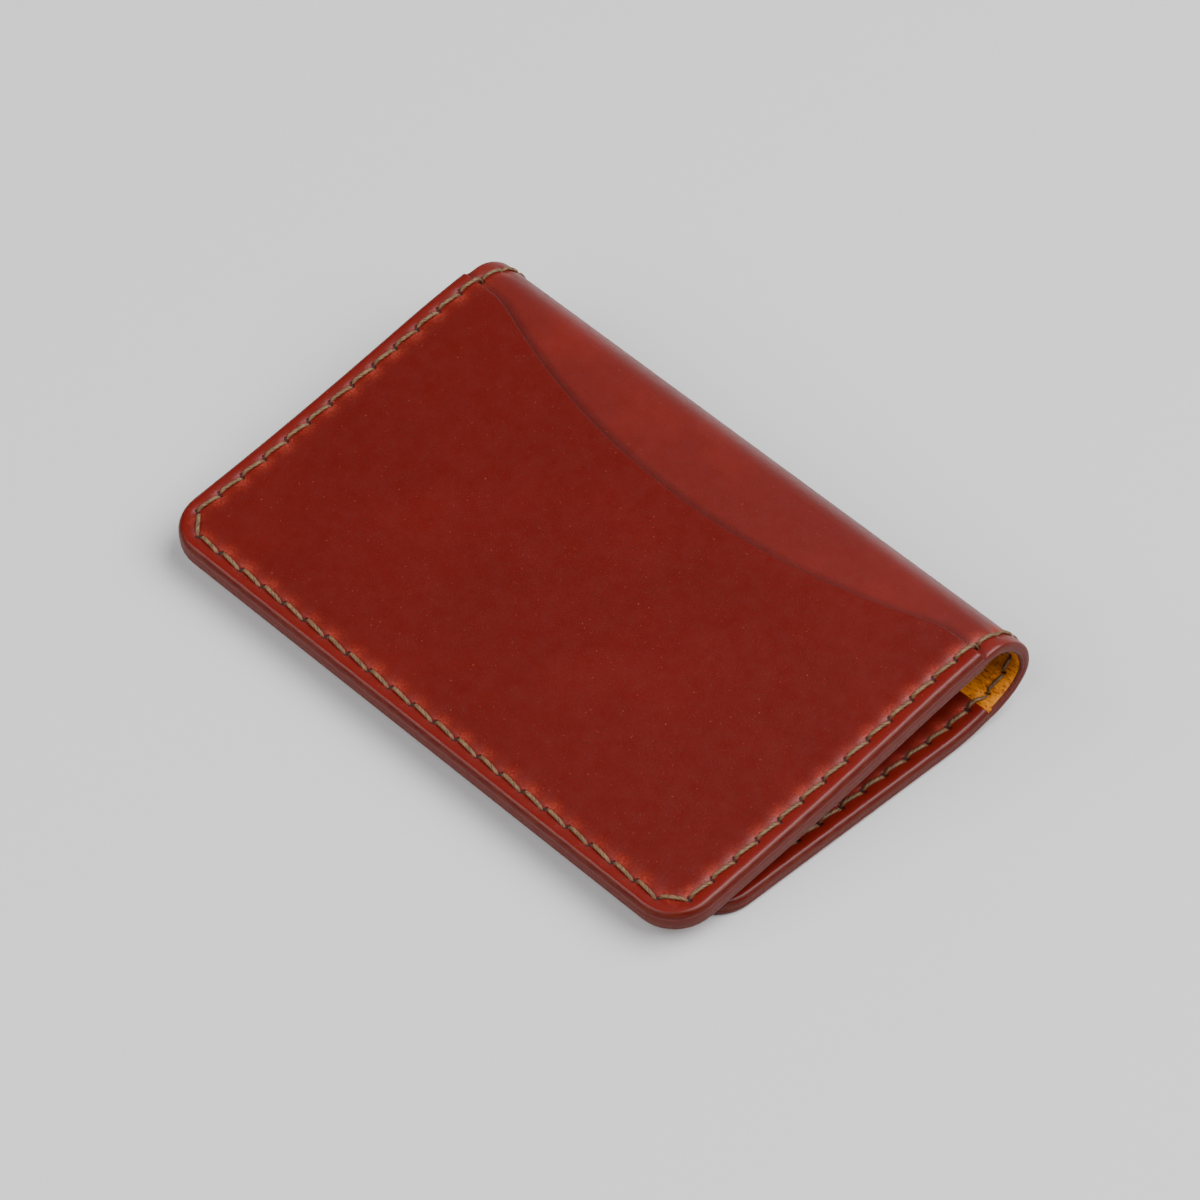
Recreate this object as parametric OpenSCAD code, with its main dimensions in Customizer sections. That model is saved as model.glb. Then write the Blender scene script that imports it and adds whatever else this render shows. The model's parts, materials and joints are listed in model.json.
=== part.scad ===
// Bi-fold card holder: a leather shell and its lining folded round a stitched pocket on each
// inner face, with a third pocket sewn to the outside of the front cover.
// The back cover lies on z = 0. X runs along the fold, +Y points towards the fold.
//
// Places on the leather are given in sheet terms: "run" is the distance from a cover's fold end
// towards its free edge, and "deep" is the distance in from the shell's outer surface.

/* [Sheet] */
// Length of the holder along the fold
holder_len = 100; // [96:0.5:106]
// Depth of the front cover, from its free edge to the start of the fold
front_depth = 61; // [60:0.1:64]
// Radius of the four free corners
corner_r = 6.5; // [4:0.5:9]

/* [Leather] */
// Thickness of the outer shell
shell_t = 1.2; // [1:0.1:1.4]
// Thickness of the lining
lining_t = 0.5; // [0.4:0.1:0.6]
// Thickness of the pocket panel on the outside of the front cover
outer_pocket_t = 1.1; // [0.9:0.1:1.3]
// Thickness of the two inner pocket panels
inner_pocket_t = 1; // [0.8:0.1:1.1]

/* [Pockets] */
// Depth of the two pocket panels of the front cover, from the free edge to their mouths
pocket_depth = 58.8; // [57:0.1:60]
// Depth of the back pocket panel, whose mouth end runs up the start of the fold
back_pocket_depth = 53.4; // [50:0.1:56]
// How far the curved mouth dips below the panel's end
mouth_drop = 8; // [5:0.5:12]
// Radius of the curved mouth
mouth_r = 114; // [105:1:140]
// Slack left for a card behind each panel
card_slack = 0.2; // [0.1:0.05:0.3]

/* [Fold] */
// Angle between the covers when closed
wedge = 9.6; // [8:0.1:12]
// Turn of the first stretch of the fold, next to the back cover
first_turn = 26; // [24:1:30]
// Outer radius of the first stretch
fold_r1 = 26; // [24:0.5:28]
// Outer radius of the second stretch
fold_r2 = 8.2; // [7:0.1:10]
// Outer radius of the third stretch
fold_r3 = 3.6; // [3.6:0.1:5]
// Outer radius of the fourth stretch
fold_r4 = 7.4; // [6:0.1:9]
// Outer radius of the fifth stretch
fold_r5 = 10.2; // [7:0.1:11]
// Outer radius of the sixth stretch, next to the front cover
fold_r6 = 4.3; // [3.6:0.1:6]

/* [Stitching] */
// Distance from hole to hole
stitch_pitch = 4.22; // [4:0.01:4.3]
// Holes along each free edge, between the corners
edge_holes = 22; // [20:2:22]
// Holes along each side, from free edge to free edge over the fold
side_holes = 31; // [31:1:32]
// Distance from the leather's edge to the stitch line
edge_inset = 2.46; // [2:0.01:3]
// Diameter of the waxed thread
thread_d = 0.54; // [0.4:0.02:0.6]

/* [Hidden] */
STRIPS = 6;

SHELL_COLOUR = [0.56, 0.15, 0.10];
POCKET_COLOUR = [0.48, 0.11, 0.08];
LINING_COLOUR = [0.86, 0.55, 0.14];
THREAD_COLOUR = [0.55, 0.42, 0.28];

// Depths of the layers, counted in from the shell's outer surface
lining_deep = shell_t;
pocket_deep = shell_t + lining_t;
inside_deep = pocket_deep + inner_pocket_t;

// Stitching: the thread lies in a groove wherever a face meets something else
thread_r = thread_d / 2;
groove_deep = thread_d + 0.08;
groove_w = 1.2;
leg_r = 0.32;
hole_r = 0.7;
stitch_slant = 4;
THREAD_SIDES = 6;
stitch_x = holder_len / 2 - edge_inset;
corner_across = stitch_x - (edge_holes - 1) / 2 * stitch_pitch;
corner_along = sqrt(pow(stitch_pitch, 2) - pow(corner_across, 2));

// The leather strip as it was cut, before folding
sheet_len = (side_holes - 1) * stitch_pitch + 2 * (edge_inset + corner_along);
radii = [fold_r1, fold_r2, fold_r3, fold_r4, fold_r5, fold_r6];
next_turn = (180 + wedge - first_turn) / (STRIPS - 1);
back_depth = sheet_len - front_depth - start_of(STRIPS);
front_pocket_run = front_depth - pocket_depth;
lip_len = back_pocket_depth - back_depth;

// Two stretches of the fold meet at a hinge line on the outer surface, and are a hair apart
seam_gap = 0.04;
eps = 0.01;

function turn_of(i) = i == 0 ? first_turn : next_turn;
function heading_of(i) = i == 0 ? 0 : heading_of(i - 1) + turn_of(i - 1);
function length_of(i) = radii[i] * turn_of(i) * PI / 180;
function start_of(i) = i == 0 ? 0 : start_of(i - 1) + length_of(i - 1);
function degrees_on(i, length) = length / radii[i] * 180 / PI;

// Centre of stretch i, and the hinge line where it starts, as [y, z] from the fold's start
function centre_of(i) = hinge_of(i) + radii[i] * [-sin(heading_of(i)), cos(heading_of(i))];
function hinge_of(i) = i == 0 ? [0, 0] : centre_of(i - 1) + radii[i - 1] * [sin(heading_of(i)), -cos(heading_of(i))];

// The stretch that holds the fold's furthest point, where the leather stands upright
function upright(i) = heading_of(i) <= 90 && heading_of(i + 1) >= 90;
fold_reach = max([for (i = [0:STRIPS - 1]) if (upright(i)) centre_of(i)[0] + radii[i]]);
front_reach = hinge_of(STRIPS)[0] - front_depth * cos(wedge) - outer_pocket_t * sin(wedge);
fold_y = -(fold_reach + front_reach) / 2;

// Holes along one side, as distances from the back cover's free edge along the sheet
side_places = [for (k = [0:side_holes - 1]) edge_inset + corner_along + k * stitch_pitch];
fold_end = back_depth + start_of(STRIPS);
back_runs = [for (p = side_places) if (p <= back_depth) back_depth - p];
front_runs = [for (p = side_places) if (p > fold_end) p - fold_end];
function reversed(list) = [for (k = [len(list) - 1:-1:0]) list[k]];
function sorted_runs(list) = list[0] < list[len(list) - 1] ? list : reversed(list);
function strip_places(i) = [
    for (p = side_places)
        if (p > back_depth + start_of(i) && p <= back_depth + start_of(i + 1)) p - back_depth - start_of(i)
];

// Every hole of one cover in sewing order: down one side, along the free edge, up the other side
function sewing_path(depth, runs) = concat(
    [for (run = sorted_runs(runs)) [-stitch_x, run]],
    [for (k = [0:edge_holes - 1]) [(k - (edge_holes - 1) / 2) * stitch_pitch, depth - edge_inset]],
    [for (run = reversed(sorted_runs(runs))) [stitch_x, run]]
);
back_path = sewing_path(back_depth, back_runs);
front_path = sewing_path(front_depth, front_runs);

// ---- places -------------------------------------------------------------------------------

// Children are drawn flat: x along the fold, y = run, z = deep
module on_back_cover() {
    translate([0, fold_y, 0]) rotate([0, 0, 180]) children();
}

module on_front_cover() {
    translate([0, fold_y + hinge_of(STRIPS)[0], hinge_of(STRIPS)[1]]) rotate([180 + wedge, 0, 0]) children();
}

// Children are drawn round the Z axis, from the start of stretch i at the +X axis
module on_strip(i) {
    translate([0, fold_y + centre_of(i)[0], centre_of(i)[1]])
        rotate([90, 0, 90]) rotate([0, 0, heading_of(i) - 90]) children();
}

// ---- shapes of one layer -------------------------------------------------------------------

// Outline of a cover panel from one run to another, with round corners at its free edge
module panel_outline(from, to) {
    translate([-holder_len / 2, from]) square([holder_len, to - corner_r - from]);
    translate([corner_r - holder_len / 2, from]) square([holder_len - 2 * corner_r, to - from]);
    for (side = [-1, 1])
        translate([side * (holder_len / 2 - corner_r), to - corner_r]) circle(r = corner_r, $fn = 64);
}

module panel(from, to, deep, thick) {
    translate([0, 0, deep]) linear_extrude(thick) panel_outline(from, to);
}

// One stretch of a layer that follows the fold, over the given length of it
module curved_layer(i, deep, thick, length) {
    on_strip(i)
        rotate([0, 0, degrees_on(i, seam_gap)])
            rotate_extrude(angle = degrees_on(i, length - 2 * seam_gap), $fn = 180)
                translate([radii[i] - deep - thick, -holder_len / 2]) square([thick, holder_len]);
}

// Diamond stitch holes through a cover layer
module panel_holes(path, deep, thick) {
    for (place = path)
        translate([place[0], place[1], deep - eps]) cylinder(r = hole_r, h = thick + 2 * eps, $fn = 4);
}

// Groove along the whole sewing path of a cover, cut from one face between two depths
module panel_groove(depth, top, bottom) {
    edge = depth - edge_inset;
    last = edge - corner_along;
    inner_x = stitch_x - corner_across;
    for (side = [-1, 1]) {
        groove_between([side * stitch_x, -1], [side * stitch_x, last], top, bottom);
        groove_between([side * stitch_x, last], [side * inner_x, edge], top, bottom);
    }
    groove_between([-inner_x, edge], [inner_x, edge], top, bottom);
}

module groove_between(a, b, top, bottom) {
    translate([a[0], a[1], top]) rotate([0, 0, atan2(b[1] - a[1], b[0] - a[0])])
        translate([0, -groove_w / 2, 0]) cube([norm(b - a), groove_w, bottom - top]);
    for (end = [a, b])
        translate([end[0], end[1], top]) cylinder(d = groove_w, h = bottom - top, $fn = 32);
}

// Diamond holes through a curved layer, at both ends of the fold
module curved_holes(i, deep, thick) {
    for (place = strip_places(i), side = [-1, 1])
        on_strip(i) rotate([0, 0, degrees_on(i, place)])
            translate([radii[i] - deep - thick - eps, 0, side * stitch_x])
                rotate([0, 90, 0]) cylinder(r = hole_r, h = thick + 2 * eps, $fn = 4);
}

// Groove round a curved layer at both ends of the fold, between two depths
module curved_groove(i, top, bottom) {
    for (side = [-1, 1])
        on_strip(i) rotate([0, 0, -5])
            rotate_extrude(angle = turn_of(i) + 10, $fn = 180)
                translate([radii[i] - bottom, side * stitch_x - groove_w / 2]) square([bottom - top, groove_w]);
}

// ---- thread --------------------------------------------------------------------------------

// One stitch lying on a cover from hole a to hole b, at the given depth
module stitch(a, b, deep) {
    middle = (a + b) / 2;
    translate([middle[0], middle[1], deep])
        rotate([0, 0, atan2(b[1] - a[1], b[0] - a[0]) + stitch_slant])
            rotate([0, 90, 0]) cylinder(r = thread_r, h = norm(b - a), center = true, $fn = THREAD_SIDES);
}

// The half stitch between a cover's last hole and its hinge line
module last_stitch(place, deep) {
    translate([place[0], seam_gap, deep]) rotate([-90, 0, 0])
        cylinder(r = thread_r, h = place[1] - seam_gap, $fn = THREAD_SIDES);
}

// Thread of one cover: stitches on both faces and a leg through the leather at every hole
module cover_thread(path, outer, inner, end_outer) {
    last = len(path) - 1;
    for (k = [0:last - 1]) {
        stitch(path[k], path[k + 1], outer);
        stitch(path[k], path[k + 1], inner);
    }
    for (k = [0, last]) {
        last_stitch(path[k], end_outer);
        last_stitch(path[k], inner);
    }
    for (k = [0:last])
        translate([path[k][0], path[k][1], outer]) cylinder(r = leg_r, h = inner - outer, $fn = THREAD_SIDES);
}

// Thread over one stretch of the fold, at both ends of it
module strip_thread(i, inner) {
    outer = thread_r + (groove_deep - thread_d) / 2;
    for (side = [-1, 1], deep = [outer, inner])
        on_strip(i) rotate([0, 0, degrees_on(i, seam_gap)])
            rotate_extrude(angle = degrees_on(i, length_of(i) - 2 * seam_gap), $fn = 180)
                translate([radii[i] - deep, side * stitch_x]) circle(r = thread_r, $fn = 24);
    for (side = [-1, 1], place = strip_places(i))
        on_strip(i) rotate([0, 0, degrees_on(i, place)])
            translate([radii[i] - inner, 0, side * stitch_x])
                rotate([0, 90, 0]) cylinder(r = leg_r, h = inner - outer, $fn = 24);
}

// ---- outer shell ---------------------------------------------------------------------------

module outer_shell_back() {
    color(SHELL_COLOUR) on_back_cover() difference() {
        panel(seam_gap, back_depth, 0, shell_t);
        panel_holes(back_path, 0, shell_t);
        panel_groove(back_depth, -eps, groove_deep);
    }
}

module outer_shell_spine(i) {
    color(SHELL_COLOUR) difference() {
        curved_layer(i, 0, shell_t, length_of(i));
        curved_holes(i, 0, shell_t);
        curved_groove(i, -eps, groove_deep);
    }
}

module outer_shell_front() {
    color(SHELL_COLOUR) on_front_cover() difference() {
        panel(seam_gap, front_depth, 0, shell_t);
        panel_holes(front_path, 0, shell_t);
        for (side = [-1, 1])
            groove_between([side * stitch_x, -1], [side * stitch_x, front_pocket_run], -eps, groove_deep);
    }
}

// ---- lining --------------------------------------------------------------------------------

module lining_back() {
    color(LINING_COLOUR) on_back_cover() difference() {
        panel(seam_gap, back_depth, lining_deep, lining_t);
        panel_holes(back_path, lining_deep, lining_t);
    }
}

module lining_spine(i) {
    color(LINING_COLOUR) difference() {
        curved_layer(i, lining_deep, lining_t, length_of(i));
        curved_holes(i, lining_deep, lining_t);
    }
}

module lining_front() {
    color(LINING_COLOUR) on_front_cover() difference() {
        panel(seam_gap, front_depth, lining_deep, lining_t);
        panel_holes(front_path, lining_deep, lining_t);
    }
}

// ---- pocket panels -------------------------------------------------------------------------

// Room for a card between a panel and what it is sewn to, inside the stitch lines
module card_room(from, to, deep) {
    room_w = 2 * (stitch_x - groove_w);
    translate([-room_w / 2, from, deep]) cube([room_w, to - edge_inset - groove_w - from, card_slack]);
}

module outer_pocket_front() {
    color(POCKET_COLOUR) on_front_cover() difference() {
        panel(front_pocket_run, front_depth, -outer_pocket_t, outer_pocket_t);
        translate([0, front_pocket_run + mouth_drop - mouth_r, -outer_pocket_t - 1])
            cylinder(r = mouth_r, h = outer_pocket_t + 2, $fn = 360);
        card_room(front_pocket_run - 1, front_depth, -card_slack);
        panel_holes(front_path, -outer_pocket_t, outer_pocket_t);
        panel_groove(front_depth, -outer_pocket_t - eps, groove_deep - outer_pocket_t);
    }
}

module inner_pocket_front() {
    color(POCKET_COLOUR) on_front_cover() difference() {
        panel(front_pocket_run, front_depth, pocket_deep, inner_pocket_t);
        card_room(front_pocket_run - 1, front_depth, pocket_deep);
        panel_holes(front_path, pocket_deep, inner_pocket_t);
        panel_groove(front_depth, inside_deep - groove_deep, inside_deep + eps);
    }
}

module inner_pocket_back() {
    color(POCKET_COLOUR) on_back_cover() difference() {
        panel(seam_gap, back_depth, pocket_deep, inner_pocket_t);
        card_room(-1, back_depth, pocket_deep);
        panel_holes(back_path, pocket_deep, inner_pocket_t);
        panel_groove(back_depth, inside_deep - groove_deep, inside_deep + eps);
    }
}

// The mouth end of the back pocket panel, which runs up the first stretch of the fold
module inner_pocket_back_lip() {
    color(POCKET_COLOUR) difference() {
        curved_layer(0, pocket_deep, inner_pocket_t, lip_len);
        curved_holes(0, pocket_deep, inner_pocket_t);
        curved_groove(0, inside_deep - groove_deep, inside_deep + eps);
    }
}

// ---- thread nodes --------------------------------------------------------------------------

// Depth of a thread's centre in a groove on an outer or an inner face
groove_centre = groove_deep / 2;

module thread_back() {
    color(THREAD_COLOUR) on_back_cover()
        cover_thread(back_path, groove_centre, inside_deep - groove_centre, groove_centre);
}

module thread_spine(i) {
    inner = i == 0 ? inside_deep - groove_centre : pocket_deep + thread_r;
    color(THREAD_COLOUR) strip_thread(i, inner);
}

module thread_front() {
    color(THREAD_COLOUR) on_front_cover()
        cover_thread(front_path, groove_centre - outer_pocket_t, inside_deep - groove_centre, groove_centre);
}

// ---- assembly ------------------------------------------------------------------------------

outer_shell_back();
outer_shell_spine(0);  // outer_shell_spine_1
outer_shell_spine(1);  // outer_shell_spine_2
outer_shell_spine(2);  // outer_shell_spine_3
outer_shell_spine(3);  // outer_shell_spine_4
outer_shell_spine(4);  // outer_shell_spine_5
outer_shell_spine(5);  // outer_shell_spine_6
outer_shell_front();
lining_back();
lining_spine(0);  // lining_spine_1
lining_spine(1);  // lining_spine_2
lining_spine(2);  // lining_spine_3
lining_spine(3);  // lining_spine_4
lining_spine(4);  // lining_spine_5
lining_spine(5);  // lining_spine_6
lining_front();
outer_pocket_front();
inner_pocket_front();
inner_pocket_back();
inner_pocket_back_lip();
thread_back();
thread_spine(0);  // thread_spine_1
thread_spine(1);  // thread_spine_2
thread_spine(2);  // thread_spine_3
thread_spine(3);  // thread_spine_4
thread_spine(4);  // thread_spine_5
thread_spine(5);  // thread_spine_6
thread_front();
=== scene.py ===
"""Looks of the bi-fold card holder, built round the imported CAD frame.

The leather is described as it lies before folding: x runs along the fold, s runs along the shell's
outer surface from the back cover's free edge to the front cover's, and h runs inwards from that surface.
Lengths are millimetres until a mesh is made. Every layer, stitch and texture is placed with those three
numbers, so nothing slides when the holder opens.
"""

import json
import math

import bmesh
import bpy
import numpy as np
from mathutils import Matrix, Vector


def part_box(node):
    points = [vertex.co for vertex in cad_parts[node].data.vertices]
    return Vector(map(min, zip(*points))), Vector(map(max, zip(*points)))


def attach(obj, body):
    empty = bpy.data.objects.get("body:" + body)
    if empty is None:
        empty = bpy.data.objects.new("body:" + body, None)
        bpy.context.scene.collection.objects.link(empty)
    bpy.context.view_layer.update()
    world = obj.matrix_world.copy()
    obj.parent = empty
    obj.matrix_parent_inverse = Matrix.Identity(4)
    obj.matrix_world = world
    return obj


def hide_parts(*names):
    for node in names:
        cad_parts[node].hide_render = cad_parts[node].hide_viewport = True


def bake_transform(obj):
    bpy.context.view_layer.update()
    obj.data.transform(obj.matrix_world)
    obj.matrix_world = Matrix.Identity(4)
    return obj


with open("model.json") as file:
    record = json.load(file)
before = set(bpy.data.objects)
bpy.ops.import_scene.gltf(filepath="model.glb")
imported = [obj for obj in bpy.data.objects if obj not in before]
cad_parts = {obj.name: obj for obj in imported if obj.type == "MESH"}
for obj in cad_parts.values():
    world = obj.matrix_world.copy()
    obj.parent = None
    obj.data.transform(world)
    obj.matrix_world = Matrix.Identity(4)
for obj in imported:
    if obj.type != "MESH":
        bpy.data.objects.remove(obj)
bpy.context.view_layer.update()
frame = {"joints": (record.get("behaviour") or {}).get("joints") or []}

# ---- sizes ---------------------------------------------------------------------------------

MM = 0.001
FLAT_SLOPE = 8.1          # slope of the front cover at its free edge, degrees
STEEP_SLOPE = 12.6        # its steepest slope, a little way in from the fold
FOLD_SLOPE = 6.8          # its slope where the fold ends
STEEP_REACH = 14.0        # how far from the fold the front cover is steepest
PITCH = 4.22              # from stitch hole to stitch hole
INSET = 2.46              # from the leather's edge to the stitch line
EDGE_HOLES = 22
SIDE_HOLES = 31
CORNER = 6.5              # radius of the four free corners
POCKET_DEPTH = 58.8       # of the front cover's two panels, from free edge to mouth
BACK_POCKET_DEPTH = 53.4
MOUTH_DROP = 8.0
MOUTH_RADIUS = 114.0
OUTER_POCKET = 1.1        # thickness of the panel outside the front cover
THREAD = 0.27             # radius of the waxed thread
SLANT = 0.22              # how far each stitch's ends lie off the line of holes
PROUD = 0.12              # height of a stitch's middle over the leather, at the thread's centre
DIVE = 0.62               # depth of its ends in the holes
PLY_TURN = 2.6            # length of thread in which its plies go once round
HOLE_GAP = 0.05           # share of the pitch left free at each end of a stitch

# The leather round the seam: depths, then widths along the seam and across it
PUCKER, PUCKER_ALONG, PUCKER_ACROSS, PUCKER_IN = 0.13, 0.8, 1.5, 0.7
PIT, PIT_ALONG, PIT_ACROSS = 0.26, 0.42, 0.5
GROOVE, SUNK_GROOVE, GROOVE_ACROSS = 0.10, 0.24, 0.55
SWELL, SWELL_AWAY, SWELL_ACROSS = 0.05, 1.5, 0.8
SINK_REACH = 6.0          # length over which the sunk seam of the back cover rises to the surface

# The burnished edge
DOME = 1.05               # how far the dome over the stack's edge reaches in, at most
DOME_SHARE = 0.34         # and as a share of the stack's thickness
SEAM_ROUND = 0.045        # the fine groove where two layers meet
SEAM_REACH = 0.07
MOUTH_BURNISH = 0.45      # width of the burnished rim at a pocket's mouth
LIP_SHARE = 0.42          # share of a panel's thickness that its mouth rounds off
LIP_SHAPE = 2.4           # the higher, the tighter it rounds
MOUTH_STEP = 1.0          # length over which the edge dome takes in a pocket panel
SMOOTHING = 1.1           # over which the fold's curve changes

# Rows of a mesh from the corner's radius out to the outline, and over its edge to the hidden face
FACE_ROWS = [1, 0.78, 0.62, 0.53, 0.47, 0.42, 0.375, 0.33, 0.28]
FACE_ROWS += [0.22, 0.16, 0.11, 0.07, 0.04, 0.02, 0.007, 0]
SIDE_ROWS = [0.012, 0.035, 0.08, 0.15, 0.25, 0.4, 0.6, 0.8, 0.93, 1.0]
CLOSE_ROWS = (0.02, 0.12)  # distances of the extra rows next to an end that meets another piece
TURN_ROWS = 11


def extent(node, axis):
    """Length of a CAD node's box along one axis, in millimetres."""
    low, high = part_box(node)
    return (high[axis] - low[axis]) / MM


HALF = extent("outer_shell_back", 0) / 2
SHELL = extent("outer_shell_back", 2)
LINING = extent("lining_back", 2)
POCKET = extent("inner_pocket_back", 2)
INSIDE = SHELL + LINING
STITCH_X = HALF - INSET

# The fold: hinge lines on the outer surface, and how far each stretch between them turns
hinges = np.array([joint["pos_m"][1:] for joint in frame["joints"]]) / MM
opening = [joint["range_deg"][1] for joint in frame["joints"]]
turns = [2 * opening[0]]
for angle in opening[1:-1]:
    turns.append(2 * angle - turns[-1])
STRETCHES = len(turns)
chords = np.linalg.norm(np.diff(hinges, axis=0), axis=1)
arcs = [c * math.radians(t) / 2 / math.sin(math.radians(t) / 2) for c, t in zip(chords, turns)]

wedge = math.radians(sum(turns) - 180)
BACK = (hinges[0][0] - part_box("outer_shell_back")[0][1] / MM)
FRONT = (hinges[-1][0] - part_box("outer_shell_front")[0][1] / MM) / math.cos(wedge)
joint_s = BACK + np.concatenate([[0], np.cumsum(arcs)])
FOLD_END = joint_s[-1]
SHEET = FOLD_END + FRONT
MIDDLES = [(joint_s[i] + joint_s[i + 1]) / 2 for i in range(STRETCHES)]
BACK_MOUTH = BACK_POCKET_DEPTH
FRONT_MOUTH = SHEET - POCKET_DEPTH

# ---- the folded surface --------------------------------------------------------------------

STEP = 0.05
BEYOND = 4                # how far the line runs on past both free edges
line_s = np.arange(-BEYOND, SHEET + BEYOND, STEP)


def smooth(t):
    t = np.clip(t, 0, 1)
    return t * t * (3 - 2 * t)


def fold_line():
    """Heading, y and z of the outer surface along line_s."""
    share = (180 + FOLD_SLOPE) / sum(turns)
    knots = np.append(joint_s, FOLD_END + STEEP_REACH)
    heading = np.interp(line_s, knots, [0, *(np.cumsum(turns) * share), 180 + STEEP_SLOPE])
    easing = smooth((line_s - FOLD_END - STEEP_REACH) / (FRONT - STEEP_REACH))
    heading -= (STEEP_SLOPE - FLAT_SLOPE) * easing
    half_kernel = 60
    kernel = np.exp(-(np.arange(-half_kernel, half_kernel + 1) * STEP / SMOOTHING) ** 2)
    padded = np.pad(heading, half_kernel, mode="edge")
    heading = np.radians(np.convolve(padded, kernel / kernel.sum(), mode="valid"))
    y = np.cumsum(np.cos(heading)) * STEP
    z = np.cumsum(np.sin(heading)) * STEP
    return heading, y + hinges[0][0] - np.interp(BACK, line_s, y), z - z[0]


line_heading, line_y, line_z = fold_line()


def place(x, s, h):
    """Points of the folded leather, in metres, for sheet places in millimetres."""
    x, s, h = np.broadcast_arrays(np.asarray(x, float), s, h)
    angle = np.interp(s, line_s, line_heading)
    y = np.interp(s, line_s, line_y) - np.sin(angle) * h
    z = np.interp(s, line_s, line_z) + np.cos(angle) * h
    return np.stack([x, y, z], axis=-1) * MM


# ---- stitch holes and the dents round them -------------------------------------------------

corner_across = STITCH_X - (EDGE_HOLES - 1) / 2 * PITCH
corner_along = math.sqrt(PITCH**2 - corner_across**2)


def sewing_loop():
    """Every hole in sewing order, as (x, s), and the direction in from the edge at each."""
    first = INSET + corner_along
    side = first + np.arange(SIDE_HOLES) * (SHEET - 2 * first) / (SIDE_HOLES - 1)
    edge = (np.arange(EDGE_HOLES) - (EDGE_HOLES - 1) / 2) * PITCH
    holes, inwards = [], []
    for s in side:
        holes.append((-STITCH_X, s))
        inwards.append((1, 0))
    for x in edge:
        holes.append((x, SHEET - INSET))
        inwards.append((0, -1))
    for s in side[::-1]:
        holes.append((STITCH_X, s))
        inwards.append((-1, 0))
    for x in edge[::-1]:
        holes.append((x, INSET))
        inwards.append((0, 1))
    return np.array(holes), np.array(inwards, float)


holes, inwards = sewing_loop()
next_holes = np.roll(holes, -1, axis=0)


def stitch_dents(x, s, outer):
    """How far the thread has drawn the leather in at each place, in millimetres.

    Where the holder lies on its back cover, the stitches are sunk in a deeper groove."""
    place_xs = np.stack([x, s], axis=-1)[:, None, :]
    off = place_xs - holes[None]
    inward = (off * inwards[None]).sum(-1)
    along = off[..., 0] * inwards[None, :, 1] - off[..., 1] * inwards[None, :, 0]
    pucker = PUCKER * np.exp(-((along / PUCKER_ALONG) ** 2) - ((inward - PUCKER_IN) / PUCKER_ACROSS) ** 2)
    pit = PIT * np.exp(-((along / PIT_ALONG) ** 2) - (inward / PIT_ACROSS) ** 2)
    run = next_holes - holes
    share = np.clip((off * run[None]).sum(-1) / (run**2).sum(-1)[None], 0, 1)
    away = np.linalg.norm(off - share[..., None] * run[None], axis=-1).min(1)
    sunk = outer * smooth((joint_s[1] - s) / SINK_REACH)
    groove = (GROOVE + SUNK_GROOVE * sunk) * np.exp(-((away / GROOVE_ACROSS) ** 2))
    swell = SWELL * (1 - sunk) * np.exp(-(((away - SWELL_AWAY) / SWELL_ACROSS) ** 2))
    return (pucker + pit).sum(1) + groove - swell


# ---- the edge of the stack -----------------------------------------------------------------


def stack_top(s):
    """Outermost h of the stack beside place s: the outer pocket stands on the front cover."""
    return -OUTER_POCKET * smooth((s - (FRONT_MOUTH - MOUTH_STEP)) / MOUTH_STEP)


def stack_bottom(s):
    """Innermost h of the stack: lined in the fold, with a pocket panel more on both covers."""
    back = smooth((BACK_MOUTH + MOUTH_STEP - s) / MOUTH_STEP)
    front = smooth((s - (FRONT_MOUTH - MOUTH_STEP)) / MOUTH_STEP)
    return INSIDE + POCKET * np.maximum(back, front)


def edge_inset(s, h):
    """How far in from the outline the burnished edge lies at depth h: a dome over the whole stack."""
    top, bottom = stack_top(s), stack_bottom(s)
    q = np.clip(np.abs((h - (top + bottom) / 2) / ((bottom - top) / 2)), 0, 1)
    size = np.minimum(DOME, DOME_SHARE * (bottom - top))
    return size * (1 - np.cbrt(1 - q**3))


def side_profile(s, shown, hidden):
    """Rows over the edge from the shown face to the hidden one: (inset, h) arrays, one row per step."""
    rows = []
    for share in SIDE_ROWS:
        h = shown + (hidden - shown) * share
        near = min(share, 1 - share) * abs(hidden - shown)
        seam = SEAM_ROUND * math.exp(-((near / SEAM_REACH) ** 2))
        rows.append((edge_inset(s, h) + seam, h + 0 * s))
    return rows


def shown_share(share):
    """1 at the shown face and 0 from a ninth of the way over the edge."""
    return max(0, 1 - share * 9)


def face_inset(s, shown, share):
    """How far in from the outline a row of the face lies: share 1 at the corner's radius, 0 at the edge."""
    start = edge_inset(s, shown + 0 * s) + SEAM_ROUND
    return start + (CORNER - start) * share


# ---- meshes --------------------------------------------------------------------------------


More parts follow.
